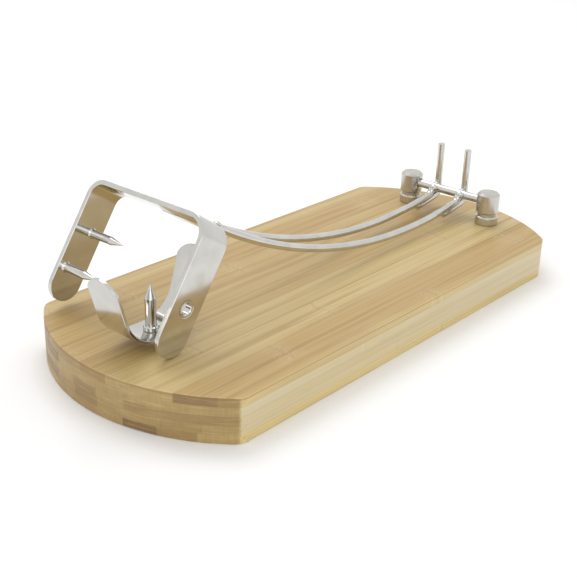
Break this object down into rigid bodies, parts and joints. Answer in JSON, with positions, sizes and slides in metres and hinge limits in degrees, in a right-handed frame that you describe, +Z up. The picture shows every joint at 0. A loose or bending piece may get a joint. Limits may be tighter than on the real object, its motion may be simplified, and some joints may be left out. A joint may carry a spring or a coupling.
{
  "type": "ham holder",
  "caption": "Folding ham holder: bamboo board, V-shaped rest with an upright spike, and a curved rod arm with a spiked clamp that swings up on a crossbar held in steel posts.",
  "frame": {"origin": "middle of the board's underside", "axes": "+X along the board towards the posts, +Y towards the clamp's spiked leg, +Z up"},
  "size_m": [0.366, 0.16, 0.0995],
  "materials": {
    "bamboo": "oiled laminated bamboo, strips along the board",
    "strip_steel": "polished stainless strip",
    "rod_steel": "satin polished stainless rod",
    "post_steel": "turned stainless, fine rings",
    "fixing_steel": "plain stainless fixings",
    "weld_metal": "bright dressed weld"
  },
  "bodies": {
    "stand": {"board": "bamboo", "post_foot_near": "post_steel", "post_foot_far": "post_steel", "post_head_near": "post_steel", "post_head_far": "post_steel", "post_screws": "fixing_steel", "post_washers": "fixing_steel", "v_rest": "strip_steel", "rest_spike": "rod_steel", "rest_collar": "rod_steel", "rest_spacer": "rod_steel", "rest_nut": "fixing_steel", "rest_washer": "fixing_steel"},
    "arm": {"arm_rod_far": "rod_steel", "arm_rod_near": "rod_steel", "clamp_bracket": "strip_steel", "clamp_spike_lower": "rod_steel", "clamp_spike_upper": "rod_steel", "clamp_tab": "strip_steel", "clamp_welds": "weld_metal", "crossbar": "rod_steel", "crossbar_welds": "weld_metal", "spike_welds": "weld_metal", "stop_rod_far": "rod_steel", "stop_rod_near": "rod_steel", "threaded_bush": "rod_steel"}
  },
  "joints": [
    {"name": "arm_fold", "type": "hinge", "parent": "stand", "child": "arm", "pos_m": [0.151, 0, 0.043], "axis": [0, 1, 0], "range_deg": [0, 104.3]}
  ]
}
